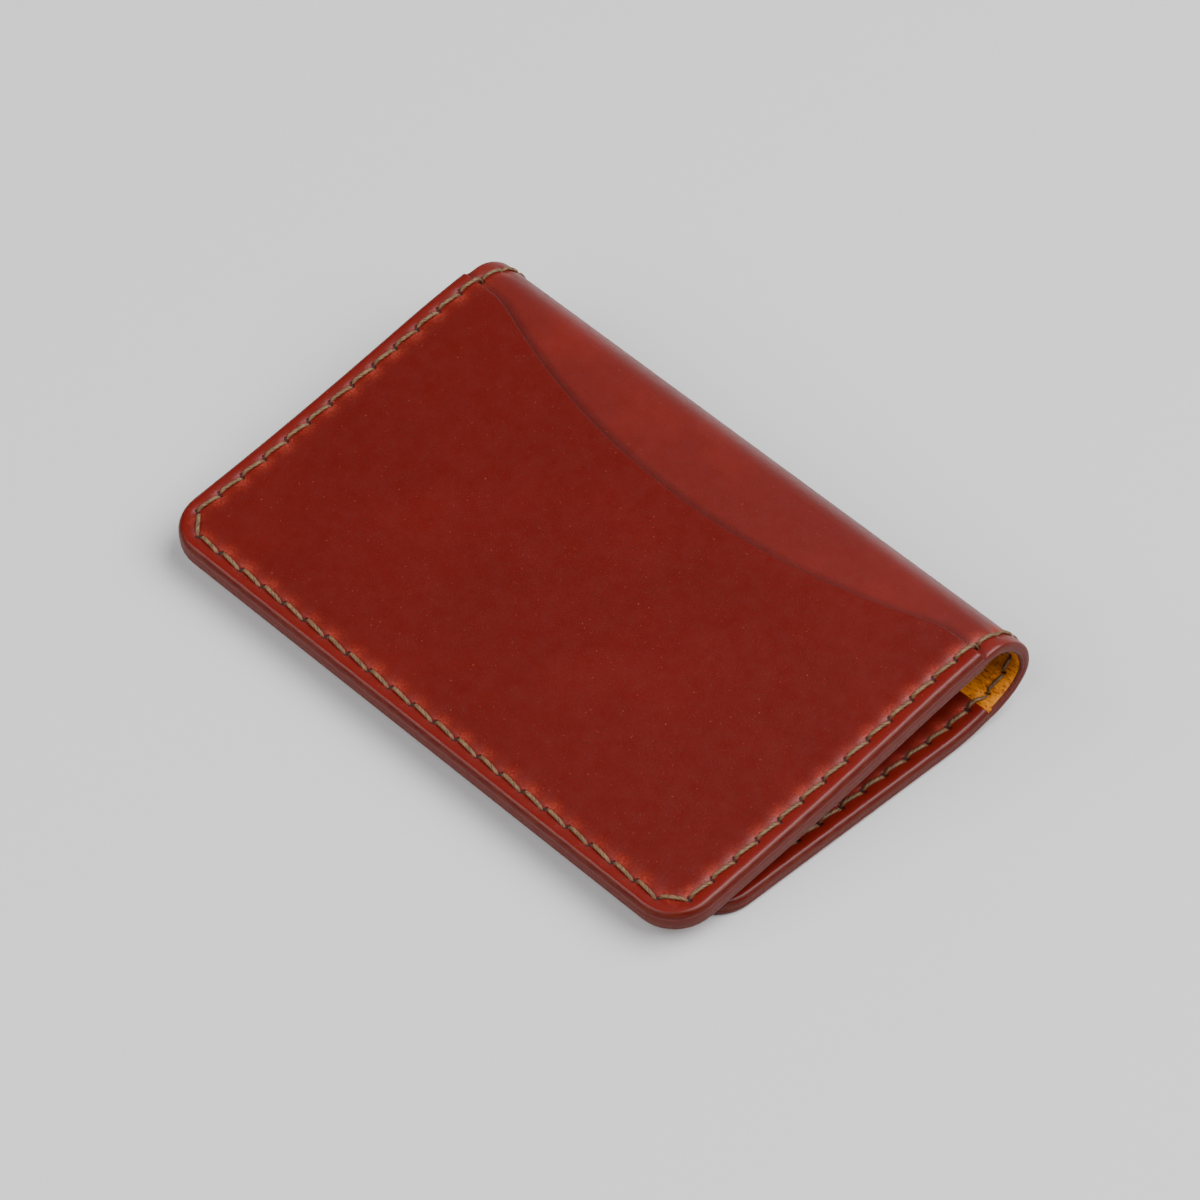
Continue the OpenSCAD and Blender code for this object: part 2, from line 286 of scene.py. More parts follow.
class Leather:
    """Collects sheet places and faces, and makes one closed piece of leather from them."""

    def __init__(self):
        self.points, self.faces, self.count = [], [], 0

    def add(self, x, s, h, edge, face):
        """Adds vertices and gives their numbers. face is 1 on the shown face and 0 elsewhere."""
        x, s, h, edge, face = np.broadcast_arrays(np.asarray(x, float), s, h, edge, face)
        self.points.append(np.stack([x, s, h, edge, face], axis=-1).reshape(-1, 5))
        first = self.count
        self.count += x.size
        return np.arange(first, self.count).reshape(x.shape)

    def quads(self, a, b):
        """Faces between two rows of vertex numbers."""
        for k in range(len(a) - 1):
            ring = [a[k], a[k + 1], b[k + 1], b[k]]
            ring = [v for i, v in enumerate(ring) if v != ring[i - 1]]
            if len(ring) > 2:
                self.faces.append([int(v) for v in ring])

    def ring(self, *rows):
        self.faces.append([int(v) for row in rows for v in row])

    def build(self, name, material, shown_sign):
        """shown_sign is 1 where the shown face is the outer one, and -1 where it is the inner one."""
        x, s, h, edge, face = np.concatenate(self.points).T
        h = h + shown_sign * face * stitch_dents(x, s, shown_sign > 0)
        mesh = bpy.data.meshes.new(name)
        mesh.from_pydata([tuple(p) for p in place(x, s, h)], [], self.faces)
        store(mesh, "sheet", np.stack([x, s, h], axis=-1), "FLOAT_VECTOR")
        store(mesh, "edge", edge, "FLOAT")
        store(mesh, "side", 1 - face, "FLOAT")
        return finish_piece(mesh, name, material)


def store(mesh, name, values, kind):
    field = "vector" if kind == "FLOAT_VECTOR" else "value"
    attribute = mesh.attributes.new(name, kind, "POINT")
    attribute.data.foreach_set(field, np.asarray(values, np.float32).ravel())


def finish_piece(mesh, name, material, sharp=50):
    work = bmesh.new()
    work.from_mesh(mesh)
    bmesh.ops.recalc_face_normals(work, faces=work.faces)
    work.to_mesh(mesh)
    work.free()
    mesh.shade_smooth()
    mesh.set_sharp_from_angle(angle=math.radians(sharp))
    mesh.materials.append(material)
    piece = bpy.data.objects.new(name, mesh)
    bpy.context.scene.collection.objects.link(piece)
    return piece


def rows_between(start, end, step, close_start=False, close_end=False):
    """Places from start to end about a step apart, closer next to an end that meets another piece."""
    count = max(2, round((end - start) / step))
    places = list(np.linspace(start, end, count + 1))
    if close_start:
        places[1:1] = [start + d for d in CLOSE_ROWS]
    if close_end:
        places[-1:-1] = [end - d for d in CLOSE_ROWS[::-1]]
    return np.array(places)


def cover_piece(name, material, front, depth, shown, hidden, side_rows, edge_x, mouth=None, lip=0.0):
    """A layer of one cover, from its free edge to depth, where it is cut or ends in a pocket's mouth.

    side_rows are the distances from the free edge at which there are rows, and edge_x the columns.
    mouth(x) says how far a curved mouth dips at x, and lip is the radius of the mouth's rounded edge."""
    leather = Leather()
    sign = 1 if hidden > shown else -1

    def sheet_s(r):
        return SHEET - r if front else r

    turn = np.linspace(0, math.pi / 2, TURN_ROWS)[1:-1]
    left_side = [((-HALF, r), (1, 0)) for r in side_rows[::-1]]
    left_turn = [
        ((-HALF + CORNER * (1 - math.cos(a)), CORNER * (1 - math.sin(a))), (math.cos(a), math.sin(a)))
        for a in turn
    ]
    edge = [((x, 0), (0, 1)) for x in edge_x]
    half = left_side + left_turn
    other = [((-b[0], b[1]), (-n[0], n[1])) for b, n in half[::-1]]
    base = np.array([b for b, n in half + edge + other])
    normal = np.array([n for b, n in half + edge + other], float)
    columns = len(base)
    s_base = sheet_s(base[:, 1])

    def lip_drop(r, x):
        """How far the face has rounded down towards the mouth."""
        if not lip:
            return 0 * r
        away = np.clip((depth - (mouth(x) if mouth else 0) - r) / lip, 0, 1)
        return LIP_SHARE * abs(hidden - shown) * (1 - np.sqrt(1 - (1 - away) ** LIP_SHAPE))

    # inner grid, drawn down to the mouth
    grid_x, grid_r = np.meshgrid(edge_x, side_rows)
    if mouth:
        grid_r = CORNER + (grid_r - CORNER) * (depth - mouth(grid_x) - CORNER) / (depth - CORNER)
    grid_h = shown + sign * lip_drop(grid_r, grid_x)
    near = np.minimum(HALF - np.abs(grid_x), grid_r)
    shine = np.clip((depth - (mouth(grid_x) if mouth else 0) - grid_r) / MOUTH_BURNISH, 0, 1) if lip else 1
    grid = leather.add(grid_x, sheet_s(grid_r), grid_h, near, shine)
    for i in range(len(side_rows) - 1):
        leather.quads(grid[i], grid[i + 1])

    # the band inside the outline, and over its edge
    corners = [[corner] * len(turn) for corner in (grid[0, 0], grid[0, -1])]
    inner = np.concatenate([grid[::-1, 0], corners[0], grid[0], corners[1], grid[:, -1]])
    previous = inner
    bands = [inner]
    for share in FACE_ROWS[1:]:
        inset = face_inset(s_base, shown, share)
        at = base + normal * inset[:, None]
        h = shown + sign * lip_drop(at[:, 1], at[:, 0])
        row = leather.add(at[:, 0], sheet_s(at[:, 1]), h, inset, 1)
        leather.quads(previous, row)
        previous = row
        bands.append(row)
    for share, (inset, h) in zip(SIDE_ROWS, side_profile(s_base, shown, hidden)):
        at = base + normal * inset[:, None]
        drop = lip_drop(at[:, 1], at[:, 0]) * (1 - share)
        row = leather.add(at[:, 0], sheet_s(at[:, 1]), h + sign * drop, 0, shown_share(share))
        leather.quads(previous, row)
        previous = row
        bands.append(row)

    # hidden face: rungs from side to side, and one face at each end
    rungs = len(half)
    last = previous
    end_r = depth - (mouth(edge_x) if mouth else 0 * edge_x)
    end_row = leather.add(edge_x, sheet_s(end_r), hidden, CORNER, 0)
    first = int(np.argmax(side_rows[::-1] < end_r.min() - 0.01))
    for k in range(first, rungs - 1):
        leather.ring([last[k], last[k + 1], last[columns - 2 - k], last[columns - 1 - k]])
    leather.ring(last[rungs - 1 : columns - rungs + 1])
    leather.ring(last[first::-1], end_row, last[: columns - 2 - first : -1])
    leather.quads(grid[-1], end_row)
    leather.ring([band[0] for band in bands], [end_row[0]])
    leather.ring([band[-1] for band in bands], [end_row[-1]])
    return leather.build(name, material, sign)


def stretch_piece(name, material, start, end, shown, hidden):
    """A layer's stretch of the fold, cut square at both ends."""
    leather = Leather()
    sign = 1 if hidden > shown else -1
    s_rows = rows_between(start, end, 0.45, True, True)
    middle_x = np.linspace(-HALF + CORNER, HALF - CORNER, 45)
    sections = []
    for s in s_rows:
        s_one = np.array([s])
        insets = [float(face_inset(s_one, shown, share)[0]) for share in FACE_ROWS[1:]]
        sides = [(float(i[0]), float(h[0])) for i, h in side_profile(s_one, shown, hidden)]
        x = [-HALF + i for i, h in sides[::-1]] + [-HALF + i for i in insets[::-1]]
        h = [h for i, h in sides[::-1]] + [shown] * len(insets)
        face = [shown_share(share) for share in SIDE_ROWS[::-1]] + [1] * len(insets)
        edge = [0] * len(sides) + insets[::-1]
        x = x + list(middle_x) + [-v for v in x[::-1]]
        h = h + [shown] * len(middle_x) + h[::-1]
        face = face + [1] * len(middle_x) + face[::-1]
        edge = edge + [CORNER] * len(middle_x) + edge[::-1]
        sections.append(leather.add(x, s, h, edge, face))
    for a, b in zip(sections, sections[1:]):
        leather.quads(a, b)
        leather.ring([a[0], b[0], b[-1], a[-1]])
    leather.ring(sections[0])
    leather.ring(sections[-1])
    return leather.build(name, material, sign)


# ---- thread --------------------------------------------------------------------------------

TUBE_SIDES = 12
TUBE_RINGS = 19
RAMP_BEFORE, RAMP = 1.5, 1.4   # where the thread starts up to a pocket's mouth, and over what length
OVAL = (1.08, 0.92)            # the thread is pressed flat: wider along the leather than up from it


def surface_under(s, outer):
    """h of the surface that a stitch lies on, with a ramp up to each pocket's mouth."""
    front = smooth((s - FRONT_MOUTH + RAMP_BEFORE) / RAMP)
    if outer:
        return -OUTER_POCKET * front
    return INSIDE + POCKET * np.maximum(front, smooth((BACK_MOUTH + RAMP_BEFORE - s) / RAMP))


def stitch_tube(a, b, inward, outer, proud):
    """Sheet places of one stitch: rings of a twisted tube from hole a to hole b, diving in at both ends."""
    run = b - a
    length = np.linalg.norm(run)
    along = run / length
    t = np.linspace(0, 1, TUBE_RINGS)
    slant = SLANT * (1 - 2 * t) * (1 if outer else -1)
    centre = a + np.outer(HOLE_GAP + (1 - 2 * HOLE_GAP) * t, run) + np.outer(slant, inward)
    out = -1 if outer else 1
    dive = np.abs(2 * t - 1) ** 5
    lift = proud * (1 - dive) - DIVE * dive
    centre_h = surface_under(centre[:, 1], outer) + out * lift
    rise = np.gradient(centre_h, t * length)
    points = np.zeros((TUBE_RINGS, TUBE_SIDES, 3))
    ply = np.zeros((TUBE_RINGS, TUBE_SIDES))
    around = np.arange(TUBE_SIDES) * 2 * math.pi / TUBE_SIDES
    for k in range(TUBE_RINGS):
        bend = math.atan(rise[k])
        twist = around - 2 * math.pi * t[k] * length / PLY_TURN
        lobes = np.abs(np.cos(1.5 * twist))
        radius = THREAD * (0.86 + 0.20 * lobes) * (1 - 0.25 * dive[k])
        across = radius * np.cos(around) * OVAL[0]
        up = radius * np.sin(around) * OVAL[1]
        points[k, :, :2] = (
            centre[k]
            + np.outer(across, inward / np.linalg.norm(inward))
            - np.outer(up * math.sin(bend), along) * out
        )
        points[k, :, 2] = centre_h[k] + up * math.cos(bend) * out
        ply[k] = lobes
    return points, ply


def thread_piece(name, material, start, end):
    """Every stitch, on both faces, whose middle lies between two places of the fold."""
    vertices, faces, plies, sheet = [], [], [], []
    for index, (a, b) in enumerate(zip(holes, next_holes)):
        middle = (a + b) / 2
        if not start <= middle[1] < end:
            continue
        inward = inwards[index] + inwards[(index + 1) % len(holes)]
        inward = inward / np.linalg.norm(inward)
        for outer in (True, False):
            sunk = smooth((joint_s[1] - middle[1]) / SINK_REACH) if outer else 0
            points, ply = stitch_tube(a, b, inward, outer, PROUD - (PROUD + THREAD) * sunk)
            first = len(vertices)
            vertices.extend(tuple(p) for p in place(*np.moveaxis(points, -1, 0)).reshape(-1, 3))
            sheet.extend(points.reshape(-1, 3))
            plies.extend(ply.ravel())
            for k in range(TUBE_RINGS - 1):
                for j in range(TUBE_SIDES):
                    n = (j + 1) % TUBE_SIDES
                    row, above = first + k * TUBE_SIDES, first + (k + 1) * TUBE_SIDES
                    faces.append((row + j, row + n, above + n, above + j))
            faces.append(tuple(first + j for j in range(TUBE_SIDES)))
            faces.append(tuple(first + (TUBE_RINGS - 1) * TUBE_SIDES + j for j in range(TUBE_SIDES)))
    mesh = bpy.data.meshes.new(name)
    mesh.from_pydata(vertices, [], faces)
    store(mesh, "sheet", np.array(sheet), "FLOAT_VECTOR")
    store(mesh, "ply", np.array(plies), "FLOAT")
    return finish_piece(mesh, name, material, 80)


# ---- materials -----------------------------------------------------------------------------

EDGE_COLOUR = (0.102, 0.014, 0.006, 1)     # burnished edges
MOUTH_COLOUR = (0.050, 0.009, 0.007, 1)    # and those of the pockets' mouths
PAINTED_PUCKER_LIGHT = (0.30, 0.034, 0.019, 1)           # painted highlight where the puckered leather beside the stitches catches the light
SPECK = (0.40, 0.10, 0.06, 1)
# painted shade in the awl slits at the holes, in the leather and in the lining
LEATHER_HOLE_SHADE = (0.018, 0.005, 0.0035, 1)
LINING_HOLE_SHADE = (0.012, 0.004, 0.002, 1)
HOLE_SHARE = 0.93
OCHRE = (0.72, 0.23, 0.006, 1)
OCHRE_DARK = (0.40, 0.088, 0.003, 1)
OCHRE_LIGHT = (0.78, 0.27, 0.012, 1)
OCHRE_CREASE = (0.25, 0.045, 0.004, 1)
THREAD_DARK = (0.115, 0.060, 0.028, 1)
THREAD_LIGHT = (0.205, 0.120, 0.061, 1)
PLY_GROOVE_SHADE = (0.045, 0.018, 0.008, 1)


class Shader:
    """A material's node tree, with short calls for the nodes used here."""

    def __init__(self, name):
        self.material = bpy.data.materials.new(name)
        self.material.use_nodes = True
        self.tree = self.material.node_tree
        self.shader = self.tree.nodes["Principled BSDF"]

    def node(self, kind, **values):
        made = self.tree.nodes.new("ShaderNode" + kind)
        for key, value in values.items():
            setattr(made, key, value)
        return made

    def link(self, source, target):
        if hasattr(source, "is_output"):
            self.tree.links.new(source, target)
        else:
            target.default_value = source

    def matt(self):
        self.shader.inputs["Roughness"].default_value = 0.5
        self.shader.inputs["Specular IOR Level"].default_value = 0.25

    def attribute(self, name):
        return self.node("Attribute", attribute_name=name)

    def math(self, operation, *inputs):
        made = self.node("Math", operation=operation)
        for socket, value in zip(made.inputs, inputs):
            self.link(value, socket)
        return made.outputs[0]

    def step(self, value, low, high):
        """0 at low and 1 at high, smoothly."""
        made = self.node("MapRange", interpolation_type="SMOOTHSTEP")
        self.link(value, made.inputs["Value"])
        made.inputs["From Min"].default_value = low
        made.inputs["From Max"].default_value = high
        return made.outputs["Result"]

    def stretch(self, vector, scale):
        made = self.node("Mapping")
        self.link(vector, made.inputs["Vector"])
        made.inputs["Scale"].default_value = scale
        return made.outputs["Vector"]

    def noise(self, vector, scale, detail=3.0, rough=0.55, distort=0.0):
        made = self.node("TexNoise")
        self.link(vector, made.inputs["Vector"])
        made.inputs["Scale"].default_value = scale
        made.inputs["Detail"].default_value = detail
        made.inputs["Roughness"].default_value = rough
        made.inputs["Distortion"].default_value = distort
        return made.outputs["Fac"]

    def cells(self, vector, scale):
        made = self.node("TexVoronoi")
        self.link(vector, made.inputs["Vector"])
        made.inputs["Scale"].default_value = scale
        return made.outputs["Distance"]

    def mix(self, share, low, high):
        made = self.node("Mix", data_type="RGBA")
        self.link(share, made.inputs["Factor"])
        self.link(low, made.inputs["A"])
        self.link(high, made.inputs["B"])
        return made.outputs["Result"]

    def product(self, *values):
        total = values[0]
        for value in values[1:]:
            total = self.math("MULTIPLY", total, value)
        return total

    def bump(self, height, distance, strength, normal=None):
        made = self.node("Bump")
        made.inputs["Distance"].default_value = distance
        made.inputs["Strength"].default_value = strength
        self.link(height, made.inputs["Height"])
        if normal is not None:
            self.link(normal, made.inputs["Normal"])
        return made.outputs["Normal"]


def stitch_fields(m, sheet):
    """Distances along the sewing line from the nearest hole, in sewing order, and in from the line."""
    split = m.node("SeparateXYZ")
    m.link(sheet, split.inputs[0])
    x, s = split.outputs["X"], split.outputs["Y"]

    def from_hole(distance, first):
        pitches = m.math("DIVIDE", m.math("SUBTRACT", distance, first), PITCH)
        return m.math("MULTIPLY", m.math("WRAP", pitches, 0.5, -0.5), PITCH)

    side_along = from_hole(s, INSET + corner_along)
    edge_along = from_hole(x, PITCH / 2)
    side_in = m.math("SUBTRACT", STITCH_X, m.math("ABSOLUTE", x))
    edge_in = m.math("SUBTRACT", m.math("MINIMUM", s, m.math("SUBTRACT", SHEET, s)), INSET)
    on_edge = m.math("LESS_THAN", edge_in, side_in)
    side_along = m.math("MULTIPLY", side_along, m.math("MULTIPLY", m.math("SIGN", x), -1.0))
    edge_along = m.math("MULTIPLY", edge_along, m.math("SIGN", m.math("SUBTRACT", s, SHEET / 2)))
    off_edge = m.math("SUBTRACT", 1.0, on_edge)
    along = m.math("ADD", m.math("MULTIPLY", on_edge, edge_along), m.math("MULTIPLY", off_edge, side_along))
    return along, m.math("MINIMUM", side_in, edge_in)


def hole_marks(m, along, inward):
    """1 in the awl slits at the holes, which slant across the seam."""
    cosine, sine = 0.45, 0.89
    lengthways = m.math("ADD", m.math("MULTIPLY", along, cosine), m.math("MULTIPLY", inward, sine))
    across = m.math("SUBTRACT", m.math("MULTIPLY", along, sine), m.math("MULTIPLY", inward, cosine))
    narrow = m.step(m.math("ABSOLUTE", across), 0.30, 0.12)
    return m.math("MULTIPLY", narrow, m.step(m.math("ABSOLUTE", lengthways), 0.62, 0.34))


def painted_mouth_shade(m, sheet):
    """1 on the shell just beyond the curved mouth of the front pocket, where the lip's shadow is painted in.
    """
    split = m.node("SeparateXYZ")
    m.link(sheet, split.inputs[0])
    half_chord = m.math("SUBTRACT", MOUTH_RADIUS**2, m.math("POWER", split.outputs["X"], 2.0))
    dip = m.math("MAXIMUM", m.math("ADD", MOUTH_DROP - MOUTH_RADIUS, m.math("SQRT", half_chord)), 0.0)
    beyond = m.math("SUBTRACT", m.math("ADD", dip, FRONT_MOUTH), split.outputs["Y"])
    return m.math("MULTIPLY", m.step(beyond, 1.6, 1.0), m.step(beyond, -0.6, -0.2))


def smooth_leather(name, base, light, dark, rough_from, mottle, shaded):
    """Polished leather: nearly even, with a painted highlight where the stitches pull it in, with pores and
    specks.

    base, light and dark are its colours, mottle how much of the light one shows in soft patches, and
    shaded whether it is the leather under the front pocket's mouth, which gets a painted shade just beyond
    the mouth."""
    m = Shader(name)
    sheet = m.attribute("sheet").outputs["Vector"]
    edge = m.attribute("edge").outputs["Fac"]
    side = m.attribute("side").outputs["Fac"]
    along, inward = stitch_fields(m, sheet)
    cloud = m.noise(sheet, 0.06, 3.0, 0.5, 0.2)
    colour = m.mix(m.math("MULTIPLY", m.step(cloud, 0.40, 0.75), 0.3), (*base, 1), (*dark, 1))
    patches = m.step(m.noise(sheet, 0.05, 3.0, 0.5), 0.46, 0.68)
    colour = m.mix(m.math("MULTIPLY", patches, mottle), colour, (*light, 1))
    grain = m.noise(sheet, 2.8, 4.0, 0.7)
    colour = m.mix(m.math("MULTIPLY", m.step(grain, 0.48, 0.70), 0.30), colour, (*light, 1))

    # the border outside the stitches is a little lighter than the middle
    border = m.math("SUBTRACT", 1.0, m.step(inward, -0.6, 1.6))
    colour = m.mix(m.math("MULTIPLY", border, 0.5), colour, (*light, 1))

    # painted highlight: patches just inside the holes, where the puckered leather catches the light,
    # streaked away from the line
    beside = m.math("COSINE", m.math("MULTIPLY", m.math("SUBTRACT", along, 0.8), 2 * math.pi / PITCH))
    beside = m.math("POWER", m.math("ADD", m.math("MULTIPLY", beside, 0.5), 0.5), 1.3)
    reach = m.math("MULTIPLY", m.step(inward, 0.1, 0.7), m.math("POWER", m.step(inward, 3.7, 0.4), 2.6))
    streaks = m.step(m.noise(sheet, 2.8, 4.0, 0.8), 0.30, 0.62)
    uneven = m.step(m.noise(sheet, 0.11, 2.0), 0.25, 0.60)
    at_holes = m.math("ADD", m.math("MULTIPLY", beside, 0.75), 0.25)
    in_places = m.math("ADD", m.math("MULTIPLY", uneven, 0.6), 0.4)
    colour = m.mix(m.product(at_holes, reach, streaks, in_places), colour, PAINTED_PUCKER_LIGHT)

    speck = m.step(m.noise(sheet, 2.6, 2.0, 0.5), 0.715, 0.745)
    colour = m.mix(m.math("MULTIPLY", speck, 0.35), colour, SPECK)
    pore = m.step(m.cells(sheet, 1.9), 0.22, 0.06)
    colour = m.mix(m.math("MULTIPLY", pore, 0.8), colour, (*(0.6 * c for c in dark), 1))
    # painted shade in the awl slits at the holes
    holes_dark = m.math("MULTIPLY", hole_marks(m, along, inward), m.math("SUBTRACT", 1.0, side))
    colour = m.mix(m.math("MULTIPLY", holes_dark, HOLE_SHARE), colour, LEATHER_HOLE_SHADE)
    # painted shade on the shell just beyond the front pocket's mouth, where its lip shadows it
    if shaded:
        shade = m.math("MULTIPLY", painted_mouth_shade(m, sheet), 0.25)
        colour = m.mix(shade, colour, (*(0.45 * c for c in dark), 1))

    # the burnished edge, streaked in layers, and darker still at a pocket's mouth
    layers = m.noise(m.stretch(sheet, (0.6, 0.6, 6.0)), 0.8, 3.0)
    burnish = m.mix(m.step(layers, 0.3, 0.7), EDGE_COLOUR, (*dark, 1))
    burnish = m.mix(m.step(edge, 0.6, 1.6), burnish, MOUTH_COLOUR)
    colour = m.mix(m.step(side, 0.25, 0.8), colour, burnish)
    m.link(colour, m.shader.inputs["Base Color"])

    # shinier along the outline, where the edge tool has pressed it, and duller in the holes
    rough = m.math("ADD", rough_from, m.math("MULTIPLY", m.noise(sheet, 0.5, 4.0), 0.16))
    rough = m.math("ADD", rough, m.math("MULTIPLY", holes_dark, 0.4))
    outline = m.math("MULTIPLY", m.step(edge, 0.9, 0.15), m.step(side, 1.0, 0.3))
    rough = m.math("SUBTRACT", rough, m.math("MULTIPLY", outline, 0.08))
    m.link(rough, m.shader.inputs["Roughness"])
    shine = m.math("SUBTRACT", 0.38, m.math("MULTIPLY", side, 0.24))
    shine = m.math("ADD", shine, m.math("MULTIPLY", outline, 0.08))
    m.link(shine, m.shader.inputs["Specular IOR Level"])
    fine = m.bump(m.noise(sheet, 4.5, 4.0, 0.6), 0.012 * MM, 0.6)
    pores = m.bump(pore, -0.02 * MM, 0.7, fine)
    waves = m.bump(m.noise(sheet, 0.32, 3.0, 0.5), 0.04 * MM, 0.5, pores)
    m.link(m.bump(holes_dark, -0.30 * MM, 0.8, waves), m.shader.inputs["Normal"])
    return m.material


def lining_leather():
    """Matt ochre leather, pebbled and wrinkled in the fold, burnished dark at the edge."""
    m = Shader("lining_leather")
    sheet = m.attribute("sheet").outputs["Vector"]
    side = m.attribute("side").outputs["Fac"]
    along, inward = stitch_fields(m, sheet)
    cells = m.cells(sheet, 1.5)
    wrinkle = m.noise(m.stretch(sheet, (0.6, 2.4, 1.0)), 1.2, 5.0, 0.65, 1.0)
    colour = m.mix(m.step(cells, 0.10, 0.65), OCHRE_DARK, OCHRE)
    colour = m.mix(m.step(wrinkle, 0.60, 0.42), colour, OCHRE_LIGHT)
    colour = m.mix(m.math("MULTIPLY", m.step(wrinkle, 0.53, 0.62), 0.8), colour, OCHRE_CREASE)
    # painted shade in the awl slits at the holes
    holes_dark = hole_marks(m, along, inward)
    colour = m.mix(m.math("MULTIPLY", holes_dark, HOLE_SHARE), colour, LINING_HOLE_SHADE)
    edge = m.attribute("edge").outputs["Fac"]
    burnished = m.math("MAXIMUM", m.step(side, 0.02, 0.3), m.step(edge, 0.32, 0.18))
    colour = m.mix(burnished, colour, EDGE_COLOUR)
    m.link(colour, m.shader.inputs["Base Color"])
    m.matt()
    pebble = m.bump(cells, -0.12 * MM, 0.8)
    m.link(m.bump(wrinkle, 0.25 * MM, 0.9, pebble), m.shader.inputs["Normal"])
    return m.material


def waxed_thread():
    """Olive brown thread, with painted shade in the grooves between its plies."""
    m = Shader("waxed_thread")
    sheet = m.attribute("sheet").outputs["Vector"]
    ply = m.attribute("ply").outputs["Fac"]
    colour = m.mix(m.step(m.noise(sheet, 1.4, 3.0), 0.3, 0.7), THREAD_DARK, THREAD_LIGHT)
    # painted shade in the grooves between the plies
    colour = m.mix(m.step(ply, 0.5, 0.05), colour, PLY_GROOVE_SHADE)
    m.link(colour, m.shader.inputs["Base Color"])
    m.matt()
    m.link(m.bump(m.noise(sheet, 9.0, 3.0), 0.04 * MM, 0.5), m.shader.inputs["Normal"])
    return m.material


SHELL_LOOK = smooth_leather(
    "shell_leather",
    base=(0.115, 0.0060, 0.0033),
    light=(0.170, 0.0100, 0.0055),
    dark=(0.088, 0.0038, 0.0020),
    rough_from=0.355,
    mottle=0.5,
    shaded=True,
)
POCKET_LOOK = smooth_leather(
    "pocket_leather",
    base=(0.100, 0.0034, 0.0017),
    light=(0.165, 0.0080, 0.0042),
    dark=(0.076, 0.0022, 0.0011),
    rough_from=0.30,
    mottle=0.12,
    shaded=False,
)
LINING_LOOK = lining_leather()
THREAD_LOOK = waxed_thread()

# ---- the pieces ----------------------------------------------------------------------------

# Regions of the fold: each runs from one stretch's middle to the next, across one hinge line
bounds_s = [0.0] + MIDDLES + [SHEET]
BEND_BEFORE = 5.0         # how far before the first hinge the back cover's region is taken to start
BACK_START = BACK - BEND_BEFORE
FINE_STEP = PITCH / 6     # between rows and columns that show the dents of the seam
COARSE_STEP = 2.0
NEAR_FOLD_STEP = 0.6


def bend_region(piece, region):
    """Finds where the region across the hinge line starts and ends, and bakes the piece's transform into its
    mesh.
    """
    start = BACK_START if region == 0 else MIDDLES[region - 1]
    end = FRONT_MOUTH if region == STRETCHES else MIDDLES[region]
    a = Vector(place(0, start, 0.0).tolist())
    b = Vector(place(0, end, 0.0).tolist())
    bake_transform(piece)


def coarse_side(depth, fine_from):
    """Rows that are fine only next to the fold."""
    far = rows_between(CORNER, fine_from, COARSE_STEP)
    near = rows_between(fine_from, depth, NEAR_FOLD_STEP, close_end=True)
    return np.concatenate([far, near[1:]])


FINE_X = rows_between(-HALF + CORNER, HALF - CORNER, FINE_STEP)
COARSE_X = rows_between(-HALF + CORNER, HALF - CORNER, COARSE_STEP)


def mouth_dip(x):
    """How far the curved mouth lies below the panel's end: one arc, eased into its straight ends."""
    arc = MOUTH_DROP - (MOUTH_RADIUS - np.sqrt(MOUTH_RADIUS**2 - np.asarray(x) ** 2))
    ease, straight = 0.35, 1.5
    most, least = 8, -30
    eased = ease * np.log1p(np.exp(np.clip(arc / ease, least, most)))
    ends = smooth((np.abs(x) - (HALF - CORNER - straight)) / straight)
    return np.where(arc > most * ease, arc, eased) * (1 - ends)


def mouth_rows(depth):
    """Rows of a pocket panel, closer together at its rounded mouth."""
    main = rows_between(CORNER, depth - 1.0, FINE_STEP)
    return np.concatenate([main, depth - np.array([0.7, 0.45, 0.3, 0.2, 0.12, 0.06, 0.02, 0.0])])


def pocket_panel(name, front, depth, shown, hidden, mouth, lip):
    return cover_piece(name, POCKET_LOOK, front, depth, shown, hidden, mouth_rows(depth), FINE_X, mouth, lip)


def cover_sheet(name, look, front, shown, rows, columns, *nodes):
    """The shell or the lining of one cover, as far as the middle of the fold's nearest stretch."""
    depth = SHEET - MIDDLES[-1] if front else MIDDLES[0]
    piece = cover_piece(name, look, front, depth, shown, SHELL, rows, columns)
    bend_region(piece, STRETCHES if front else 0)
    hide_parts(*nodes)
    return piece


back_rows = rows_between(CORNER, MIDDLES[0], FINE_STEP, close_end=True)
shell_back = cover_sheet(
    "shell_back", SHELL_LOOK, False, 0.0, back_rows, FINE_X, "outer_shell_back", "outer_shell_spine_1"
)
back_rows = coarse_side(MIDDLES[0], BACK - 8)
lining_back = cover_sheet(
    "lining_back_sheet", LINING_LOOK, False, INSIDE, back_rows, COARSE_X, "lining_back", "lining_spine_1"
)
front_depth = SHEET - MIDDLES[-1]
front_rows = coarse_side(front_depth, front_depth - 18)
shell_front = cover_sheet("shell_front", SHELL_LOOK, True, 0.0, front_rows, COARSE_X, "outer_shell_front")
front_rows = coarse_side(front_depth, front_depth - 12)
lining_front = cover_sheet(
    "lining_front_sheet", LINING_LOOK, True, INSIDE, front_rows, COARSE_X, "lining_front"
)

shells, linings = [shell_back, shell_front], [lining_back, lining_front]
for region in range(1, STRETCHES):
    start, end = MIDDLES[region - 1], MIDDLES[region]
    shell = stretch_piece(f"shell_fold_{region}", SHELL_LOOK, start, end, 0.0, SHELL)
    lining = stretch_piece(f"lining_fold_{region}", LINING_LOOK, start, end, INSIDE, SHELL)
    for piece, node in ((shell, "outer_shell_spine"), (lining, "lining_spine")):
        bend_region(piece, region)
        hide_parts(f"{node}_{region + 1}")
    shells.append(shell)
    linings.append(lining)

